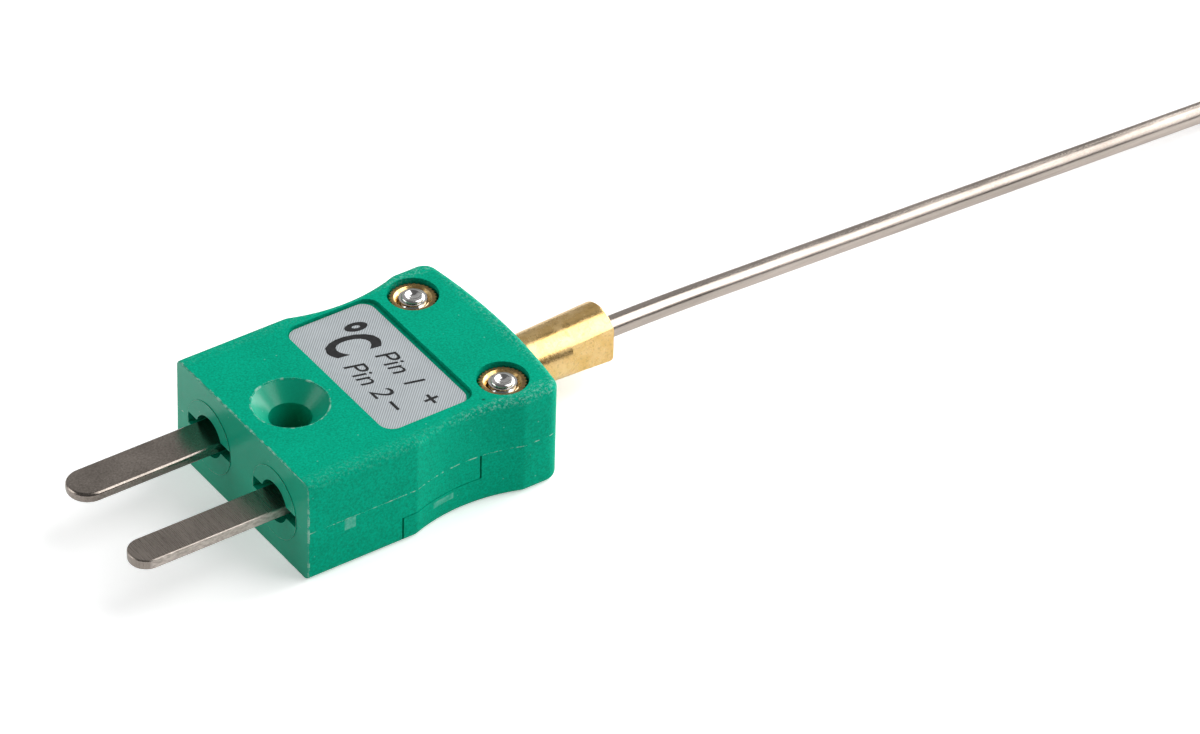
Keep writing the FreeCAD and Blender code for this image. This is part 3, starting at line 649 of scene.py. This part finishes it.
def slotted_head(x, y, radius, low, high):
    """Cheese head seen from below, cut across by a driver slot.

    The face is a grid of chords: each row is one chord of the disc, rows are doubled at
    the slot's walls, and the height is the slot's floor between them and a rounded
    crown outside.  A second grid carries the rim up to the seat and in to the axis.
    """
    half_slot = DRIVE_SLOT_WIDTH / 2
    beside = np.linspace(math.asin(half_slot / radius), math.pi / 2, 12)
    outer = radius * np.sin(beside)
    slot = np.linspace(-half_slot, half_slot, 5)
    rows = np.concatenate([-outer[::-1], slot, outer])
    in_slot = np.concatenate([np.zeros_like(outer), np.ones_like(slot), np.zeros_like(outer)])
    chord = np.sqrt(np.maximum(radius ** 2 - rows ** 2, 0))
    share = np.sin(np.linspace(-math.pi / 2, math.pi / 2, 25))
    across = chord[:, None] * share[None, :]
    reach = np.sqrt(across ** 2 + rows[:, None] ** 2)
    inset = np.clip((reach - (radius - HEAD_EDGE)) / HEAD_EDGE, 0, 1)
    crown = low + HEAD_EDGE * (1 - np.sqrt(1 - inset ** 2))
    height = np.where(in_slot[:, None] > 0, low + DRIVE_SLOT_DEPTH, crown)
    face = np.stack([x + across, y + np.broadcast_to(rows[:, None], across.shape), height], -1)
    rim = np.concatenate([face[:, 0], face[::-1, -1]])
    seat = rim.copy()
    seat[:, 2] = high
    axis = np.broadcast_to(np.array([x, y, high]), rim.shape)
    return [(face, False), (np.stack([rim, seat, axis]), True)]


def slotted_screw(node_name, sizes, material):
    """Screw with its head below; the frame's box gives its place and length."""
    head_radius, head_height, shank_radius = sizes
    low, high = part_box(node_name)
    x, y = (low.x + high.x) / 2, (low.y + high.y) / 2
    shank = threaded_shank(x, y, shank_radius, low.z + head_height - SHANK_START, high.z)
    head = slotted_head(x, y, head_radius, low.z, low.z + head_height)
    screw = merged_mesh(node_name + "_turned", head + [(shank, True)], material, 35)
    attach(screw, node_name)
    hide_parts(node_name)


plating = plated_steel()
for side in ("left", "right"):
    slotted_screw("cap_screw_" + side, CAP_SCREW, plating)
for pole in ("negative", "positive"):
    slotted_screw("terminal_screw_" + pole, TERMINAL_SCREW, plating)
    dress("clamp_plate_" + pole, plating)


# --- wires, tubing, seal, insulation and hot junction --------------------------------------
# Two drawn alloy wires run from the clamps through short white tubing, a cast dark seal
# and packed white mineral powder, and are welded into one bead near the sheath's tip.
WIRE_DULL = (0.42, 0.38, 0.34, 1)
WIRE_BRIGHT = (0.58, 0.55, 0.5, 1)


def drawn_wire():
    """Drawn wire: faint lines along it and a light bloom of oxide."""
    material, tree, shader, place = new_material("drawn_wire", Metallic=1.0)
    lines = noise(tree, place, 2200, stretch=(0.1, 3.0, 3.0))
    bloom = noise(tree, place, 500, detail=4.0)
    colour = mix_colour(tree, remap(tree, bloom, 0.35, 0.65), WIRE_DULL, WIRE_BRIGHT)
    tree.links.new(colour, shader.inputs["Base Color"])
    tree.links.new(remap(tree, bloom, 0.3, 0.7, 0.25, 0.42), shader.inputs["Roughness"])
    add_bump(tree, shader, lines, 0.004 * MM, 0.6)
    return material


def dull_filling(name, dark, pale, rough, scale, height):
    """Non-metal filling: mottled colour and an uneven surface."""
    material, tree, shader, place = new_material(name, Specular_IOR_Level=0.4)
    mottle = noise(tree, place, scale, detail=4.0)
    fine = noise(tree, place, scale * 6, detail=2.0)
    tree.links.new(mix_colour(tree, remap(tree, mottle, 0.35, 0.65), dark, pale),
                   shader.inputs["Base Color"])
    tree.links.new(remap(tree, fine, 0.3, 0.7, rough * 0.85, rough * 1.1), shader.inputs["Roughness"])
    add_bump(tree, shader, fine, height, 0.7)
    return material


wire_metal = drawn_wire()
tubing = dull_filling("white_tubing", dark=(0.66, 0.66, 0.63, 1), pale=(0.8, 0.8, 0.77, 1),
                      rough=0.35, scale=700, height=0.004 * MM)
seal = dull_filling("cast_seal", dark=(0.02, 0.017, 0.015, 1), pale=(0.05, 0.042, 0.036, 1),
                    rough=0.25, scale=900, height=0.01 * MM)
powder = dull_filling("packed_powder", dark=(0.72, 0.7, 0.66, 1), pale=(0.84, 0.83, 0.8, 1),
                      rough=0.9, scale=1500, height=0.02 * MM)
for pole in ("negative", "positive"):
    dress("conductor_" + pole, wire_metal)
    dress("wire_sleeve_" + pole, tubing)
dress("hot_junction", wire_metal)
dress("sheath_seal", seal)
dress("insulation_core", powder)


# --- probe sheath ----------------------------------------------------------------------------
# Seamless nickel-alloy tube drawn down over the powder, annealed to a satin grey, welded
# shut at the tip.  It leaves the plug level, dips to the table and then lies straight.
SHEATH_RADIUS = 0.75 * MM
SHEATH_BORE = 0.55 * MM
EXIT_BEND_RADIUS = 183 * MM
LANDING_BEND_RADIUS = 200 * MM
LANDING_DISTANCE = 57 * MM
TIP_WALL = 0.9 * MM
TIP_ROUND = 0.6 * MM
MOUTH_BREAK = 0.03 * MM
AXIS_STEPS = 20000
SHEATH_COLUMNS = 64
FIRST_RING = 0.05 * MM
BENT_PART = 96 * MM          # travel that holds both bends, ringed closely
SHEATH_DULL = (0.38, 0.33, 0.29, 1)
SHEATH_BRIGHT = (0.54, 0.47, 0.42, 1)


def sheath_axis():
    """Axis of the bent tube as arrays of travel, x, z and heading.

    The heading is level, ramps to the dip angle over the exit bend, stays, ramps back to
    level over the landing bend and stays; x and z are its running sums.
    """
    low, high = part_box("sheath_tube")
    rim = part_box("crimp_sleeve")[1].x
    drop = (high.z - SHEATH_RADIUS) - (low.z + SHEATH_RADIUS)
    dip = math.atan2(drop, LANDING_DISTANCE)
    slope = LANDING_DISTANCE / math.cos(dip)
    slope -= (EXIT_BEND_RADIUS + LANDING_BEND_RADIUS) * math.tan(dip / 2)
    marks = np.cumsum([rim - low.x, EXIT_BEND_RADIUS * dip, slope, LANDING_BEND_RADIUS * dip])
    travel = np.linspace(0, high.x - low.x + 1 * MM, AXIS_STEPS + 1)
    heading = np.interp(travel, marks, [0, -dip, -dip, 0])
    step = travel[1]
    between = (heading[:-1] + heading[1:]) / 2
    x = low.x + np.concatenate([[0], np.cumsum(np.cos(between)) * step])
    z = high.z - SHEATH_RADIUS + np.concatenate([[0], np.cumsum(np.sin(between)) * step])
    return travel, x, z, heading, high.x


def swept_tube(rows):
    """Rings (travel, radius) carried along the sheath's axis, square to its heading."""
    travel, x, z, heading, _ = sheath_axis()
    at, radius = rows[:, 0], rows[:, 1, None]
    lean = np.interp(at, travel, heading)[:, None]
    turn = np.linspace(0, 2 * math.pi, SHEATH_COLUMNS, endpoint=False)[None, :]
    lift = radius * np.sin(turn)
    return np.stack([np.interp(at, travel, x)[:, None] - lift * np.sin(lean),
                     radius * np.cos(turn) + 0 * lean,
                     np.interp(at, travel, z)[:, None] + lift * np.cos(lean)], axis=-1)


def sheath_rows():
    """Closed profile: bore end, bore, open mouth, outside, round tip."""
    travel, x, _, _, tip_x = sheath_axis()
    length = np.interp(tip_x, x, travel)
    lengthwise = np.concatenate([np.linspace(FIRST_RING, BENT_PART, 110),
                                 np.linspace(BENT_PART + 1 * MM, length - TIP_ROUND, 24)])
    swing = np.linspace(0, math.pi / 2, 10)[1:]
    flat = SHEATH_RADIUS - TIP_ROUND
    inside = lengthwise[lengthwise < length - TIP_WALL][::-1]
    rows = [(length - TIP_WALL, 0.0), (length - TIP_WALL, SHEATH_BORE)]
    rows += [(at, SHEATH_BORE) for at in inside]
    rows += [(0.0, SHEATH_BORE + MOUTH_BREAK), (0.0, SHEATH_RADIUS - MOUTH_BREAK)]
    rows += [(at, SHEATH_RADIUS) for at in lengthwise]
    rows += [(length - TIP_ROUND + TIP_ROUND * math.sin(angle), flat + TIP_ROUND * math.cos(angle))
             for angle in swing]
    rows += [(length, 0.0)]
    return np.array(rows)


def satin_sheath():
    """Annealed satin tube: warm grey, hair-fine drawing lines, faint cloudy stains."""
    material, tree, shader, place = new_material("satin_sheath", Metallic=1.0)
    lines = noise(tree, place, 2600, stretch=(0.06, 2.5, 2.5), detail=3.0)
    clouds = noise(tree, place, 260, stretch=(0.5, 1.5, 1.5), detail=4.0)
    grit = noise(tree, place, 6500, detail=2.0)
    tone = weighted(tree, lines, 0.4, clouds, 0.6)
    colour = mix_colour(tree, remap(tree, tone, 0.36, 0.64), SHEATH_DULL, SHEATH_BRIGHT)
    tree.links.new(colour, shader.inputs["Base Color"])
    tree.links.new(remap(tree, clouds, 0.3, 0.7, 0.19, 0.27), shader.inputs["Roughness"])
    height = math_node(tree, "ADD", lines, grit)
    add_bump(tree, shader, height, 0.005 * MM, 0.7)
    return material


sheath = merged_mesh("drawn_sheath", [(swept_tube(sheath_rows()), True)], satin_sheath(), 50)
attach(sheath, "root")
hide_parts("sheath_tube")


# --- crimp sleeve --------------------------------------------------------------------------------
# Turned brass sleeve that grips the sheath.  Its collar is trapped between body and cap,
# its neck flares a little to the rim, and two flats are milled there for the crimp tool.
SLEEVE_NECK = 1.85 * MM
SLEEVE_RIM = 2.14 * MM
SLEEVE_BORE = 0.77 * MM
COLLAR_RADIUS = 2.5 * MM
COLLAR_WIDTH = 1.0 * MM
COLLAR_INSET = 0.6 * MM
HALF_FLATS = 1.65 * MM
FLAT_LENGTH = 3.4 * MM
RIM_EDGE = 0.16 * MM
SLEEVE_EDGE = 0.06 * MM      # small breaks at its other corners
FLARE_RINGS = 14


def sleeve_profile():
    """Closed profile (place along the axis, radius), inner end round to inner end."""
    low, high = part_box("crimp_sleeve")
    collar = low.x + COLLAR_INSET
    collar_end = collar + COLLAR_WIDTH
    edge = SLEEVE_EDGE
    flat_start = high.x - FLAT_LENGTH
    neck = [(low.x, SLEEVE_BORE), (low.x, SLEEVE_NECK - edge), (low.x + edge, SLEEVE_NECK),
            (collar, SLEEVE_NECK), (collar, COLLAR_RADIUS - edge), (collar + edge, COLLAR_RADIUS),
            (collar_end - edge, COLLAR_RADIUS), (collar_end, COLLAR_RADIUS - edge),
            (collar_end, SLEEVE_NECK), (PLUG_REAR, SLEEVE_NECK)]
    just_past = flat_start + 0.001 * MM
    stations = np.concatenate([np.linspace(PLUG_REAR, flat_start, FLARE_RINGS)[1:], [just_past],
                               np.linspace(flat_start, high.x - RIM_EDGE, FLARE_RINGS)[1:]])
    share = (stations - PLUG_REAR) / (high.x - PLUG_REAR)
    flare = list(zip(stations, SLEEVE_NECK + (SLEEVE_RIM - SLEEVE_NECK) * share))
    swing = np.linspace(0, math.pi / 2, 7)[1:]
    rim = [(high.x - RIM_EDGE + RIM_EDGE * math.sin(a), flare[-1][1] - RIM_EDGE * (1 - math.cos(a)))
           for a in swing]
    mouth = [(high.x, SLEEVE_BORE + edge), (high.x - edge, SLEEVE_BORE), (low.x, SLEEVE_BORE)]
    return np.array(neck + flare + rim + mouth), (low.z + high.z) / 2, flat_start


def milled_sleeve():
    """Lathe surface about the probe axis, cut back to the two flats near the rim.

    The columns are spread so that some always lie on the flats' edges; between those the
    radius is the flat's distance over the cosine of the angle, outside them the profile's.
    """
    profile, level, flat_start = sleeve_profile()
    place, radius = profile[:, 0], profile[:, 1]
    milled = (place > flat_start) & (radius > HALF_FLATS)
    edge_angle = np.arccos(np.clip(HALF_FLATS / np.maximum(radius, HALF_FLATS * 1.02), 0, 1))
    edge_angle = np.where(milled, edge_angle, math.acos(HALF_FLATS / SLEEVE_NECK))[:, None]
    on_flat = np.linspace(-1, 1, 13)[None, :]
    on_round = np.linspace(0, 1, 25)[1:-1][None, :]
    first = edge_angle * on_flat
    over = edge_angle + (math.pi - 2 * edge_angle) * on_round
    turn = np.concatenate([first, over, math.pi + first, math.pi + over], axis=1)
    flat_radius = HALF_FLATS / np.abs(np.cos(turn))
    spread = np.where(milled[:, None], np.minimum(radius[:, None], flat_radius), radius[:, None])
    points = np.stack([np.broadcast_to(place[:, None], turn.shape), spread * np.cos(turn),
                       level + spread * np.sin(turn)], axis=-1)
    sleeve_brass = turned_brass("sleeve_brass", marks_along=0, grime=0.5)
    return merged_mesh("milled_sleeve", [(points, True)], sleeve_brass, 16)


sleeve = milled_sleeve()
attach(sleeve, "root")
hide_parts("crimp_sleeve")


# --- label and its print -----------------------------------------------------------------------------
# Thin silver-grey printed foil in a recess.  A fine slanting line screen covers it; over
# that are a large unit sign and two rows that name the pins and their polarity.
HATCH_PITCH = 0.154 * MM
INK_HEIGHT = 0.008 * MM
CAPITAL_SHARE = 0.7          # height of a capital over the size of its letters
UNIT_CAPITAL = 3.5 * MM
UNIT_NARROW = 0.58
ROW_CAPITAL = 1.45 * MM
SLANT = 0.25
FOOT_MARGIN = 1.3 * MM
FOIL_PALE = (0.52, 0.56, 0.585, 1)
FOIL_LINE = (0.29, 0.315, 0.33, 1)
FOIL_FADED = (0.6, 0.64, 0.66, 1)
INK_BLACK = (0.008, 0.008, 0.009, 1)
INK_WORN = (0.022, 0.022, 0.024, 1)
label_low, label_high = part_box("rating_label")


def hatched_foil():
    """Grey foil under a diagonal line screen, with slight fading from place to place."""
    material, tree, shader, place = new_material("hatched_foil", Specular_IOR_Level=0.35)
    along, across, _ = add_node(tree, "SeparateXYZ", Vector=place).outputs
    slant = math_node(tree, "SUBTRACT", along, across)
    turns = math.sqrt(0.5) * 2 * math.pi / HATCH_PITCH
    wave = math_node(tree, "SINE", times(tree, slant, turns))
    wobble = noise(tree, place, 2500)
    fading = noise(tree, place, 350)
    screen = weighted(tree, wave, 1.0, wobble, 0.8)
    colour = mix_colour(tree, remap(tree, screen, -0.2, 0.9), FOIL_PALE, FOIL_LINE)
    colour = mix_colour(tree, remap(tree, fading, 0.4, 0.7, 0, 0.12), colour, FOIL_FADED)
    tree.links.new(colour, shader.inputs["Base Color"])
    tree.links.new(remap(tree, wobble, 0.3, 0.7, 0.4, 0.5), shader.inputs["Roughness"])
    add_bump(tree, shader, wobble, 0.002 * MM, 0.4)
    return material


def printed_ink():
    """Black screen ink, a little uneven."""
    material, tree, shader, place = new_material("printed_ink", Specular_IOR_Level=0.3)
    patches = noise(tree, place, 3000)
    colour = mix_colour(tree, remap(tree, patches, 0.4, 0.7), INK_BLACK, INK_WORN)
    tree.links.new(colour, shader.inputs["Base Color"])
    tree.links.new(remap(tree, patches, 0.3, 0.7, 0.45, 0.6), shader.inputs["Roughness"])
    return material


def print_word(name, text, height, slant, weight, x, y, material, narrow=1.0):
    """Raised ink letters that read towards -Y with their tops towards +X.

    height is that of a capital; x is the foot of the line and y its start; narrow
    scales the width.
    """
    letters = bpy.data.curves.new(name, "FONT")
    letters.body = text
    letters.shear = slant
    letters.offset = weight
    letters.size = 1.0
    letters.extrude = 0.5
    letters.resolution_u = 4
    written = bpy.data.objects.new(name, letters)
    bpy.context.scene.collection.objects.link(written)
    bpy.context.view_layer.update()
    mesh = bpy.data.meshes.new_from_object(written)
    bpy.data.objects.remove(written)
    points = np.zeros(len(mesh.vertices) * 3)
    mesh.vertices.foreach_get("co", points)
    points = points.reshape(-1, 3)
    scale = height / CAPITAL_SHARE
    placed = np.stack([x + points[:, 1] * scale, y - points[:, 0] * scale * narrow,
                       label_high.z + (points[:, 2] + 0.5) * INK_HEIGHT], axis=1)
    mesh.vertices.foreach_set("co", placed.ravel())
    work = bmesh.new()
    work.from_mesh(mesh)
    bmesh.ops.remove_doubles(work, verts=work.verts, dist=SLIVER)
    bmesh.ops.recalc_face_normals(work, faces=work.faces)
    work.to_mesh(mesh)
    work.free()
    mesh.materials.clear()
    mesh.materials.append(material)
    piece = bpy.data.objects.new(name, mesh)
    bpy.context.scene.collection.objects.link(piece)
    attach(piece, "root")


dress("rating_label", hatched_foil())
ink = printed_ink()
foot = label_low.x + FOOT_MARGIN
print_word("print_unit", "°C", UNIT_CAPITAL, SLANT, 0.026, foot + 0.1 * MM,
           label_high.y - 0.95 * MM, ink, UNIT_NARROW)
print_word("print_row_plus", "Pin 1", ROW_CAPITAL, SLANT, 0.0, foot + 2.4 * MM, 1.5 * MM, ink)
print_word("print_plus", "+", ROW_CAPITAL, 0.0, 0.01, foot + 2.3 * MM, -3.8 * MM, ink)
print_word("print_row_minus", "Pin 2", ROW_CAPITAL, SLANT, 0.0, foot, 1.6 * MM, ink)
print_word("print_minus", "−", ROW_CAPITAL, 0.0, 0.01, foot - 0.1 * MM, -3.1 * MM, ink)


# --- table, light and camera --------------------------------------------------------------------------
# The object lies on a plain white table.  Soft lamps stand on its right from overhead to
# low down, one weaker lamp is at its left, and the dim room shows as dark lines in metal.
CAMERA_AZIMUTH = -35.498
CAMERA_ELEVATION = 38.225
CAMERA_ROLL = 1.666
CAMERA_DISTANCE = 0.5
CAMERA_LENS = 231.03
AIM = Vector((21.397, -9.694, 5.755)) * MM
TABLE_SIZE = 4.0
TABLE_CLEARANCE = 0.02 * MM
TABLE_GLOW = 0.12
TABLE_WHITENING = 0.3
TABLE_GREY = (0.9, 0.9, 0.9, 1)
TABLE_WHITE = (0.93, 0.93, 0.93, 1)
LAMP_DISTANCE = 0.7
ROOM_LIGHT = 0.14
# way to each lamp from the plug, its width and length in metres, and its watts
LAMPS = {
    "overhead_strip": ((0.456, -0.376, 0.807), (0.3, 0.82), 2.4),
    "right_low": ((0.78, -0.45, 0.48), (0.55, 0.6), 1.15),
    "right_side": ((0.93, 0.12, 0.36), (0.6, 0.55), 5.6),
    "rear_panel": ((0.3, 0.78, 0.55), (1.1, 0.7), 0.7),
    "left_rear": ((-0.8, 0.5, 0.35), (0.5, 0.5), 1.7),
}


def table_top():
    """Large white table just under the object; it follows the cap, which rests on it."""
    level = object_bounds()[0][2] - TABLE_CLEARANCE
    half = TABLE_SIZE / 2
    mesh = bpy.data.meshes.new("table_top")
    mesh.from_pydata([(-half, -half, level), (half, -half, level), (half, half, level),
                      (-half, half, level)], [], [(0, 1, 2, 3)])
    material, tree, shader, place = new_material("white_table", Roughness=0.7)
    grain = noise(tree, place, 40)
    tree.links.new(mix_colour(tree, grain, TABLE_GREY, TABLE_WHITE), shader.inputs["Base Color"])
    shader.inputs["Emission Color"].default_value = (1, 1, 1, 1)
    seen = add_node(tree, "LightPath").outputs["Is Camera Ray"]
    glow = remap(tree, seen, 0, 1, TABLE_GLOW, TABLE_GLOW + TABLE_WHITENING)
    tree.links.new(glow, shader.inputs["Emission Strength"])
    mesh.materials.append(material)
    table = bpy.data.objects.new("table_top", mesh)
    bpy.context.scene.collection.objects.link(table)
    table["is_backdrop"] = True
    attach(table, "cap")


def surroundings():
    """Dim even room."""
    world = bpy.data.worlds.new("studio")
    bpy.context.scene.world = world
    world.use_nodes = True
    background = world.node_tree.nodes["Background"]
    background.inputs["Color"].default_value = (ROOM_LIGHT, ROOM_LIGHT, ROOM_LIGHT, 1)


def soft_lamp(name, way, size, watts):
    """Rectangular area lamp that faces the plug; its long side leans over the probe."""
    lamp = bpy.data.lights.new(name, "AREA")
    lamp.shape = "RECTANGLE"
    lamp.size, lamp.size_y = size
    lamp.energy = watts
    light = bpy.data.objects.new(name, lamp)
    bpy.context.scene.collection.objects.link(light)
    back = Vector(way).normalized()
    across = (Vector((1, 0, 0)) - back * back.x).normalized()
    turned = Matrix((across, back.cross(across), back)).transposed()
    light.matrix_world = Matrix.Translation(back * LAMP_DISTANCE) @ turned.to_4x4()


def look():
    """Long-lens camera: azimuth, elevation and roll about the aim point."""
    lens = bpy.data.cameras.new("camera")
    lens.lens = CAMERA_LENS
    lens.clip_start = 0.01
    camera = bpy.data.objects.new("camera", lens)
    bpy.context.scene.collection.objects.link(camera)
    azimuth, elevation = math.radians(CAMERA_AZIMUTH), math.radians(CAMERA_ELEVATION)
    back = Vector((math.sin(azimuth) * math.cos(elevation),
                   -math.cos(azimuth) * math.cos(elevation), math.sin(elevation)))
    right = (-back).cross(Vector((0, 0, 1))).normalized()
    up = right.cross(-back)
    axes = Matrix((right, up, back)).transposed() @ Matrix.Rotation(math.radians(CAMERA_ROLL), 3, "Z")
    camera.matrix_world = Matrix.Translation(AIM + back * CAMERA_DISTANCE) @ axes.to_4x4()
    bpy.context.scene.camera = camera


table_top()
surroundings()
for name, (way, size, watts) in LAMPS.items():
    soft_lamp(name, way, size, watts)
look()
bpy.context.scene.view_settings.view_transform = "Standard"
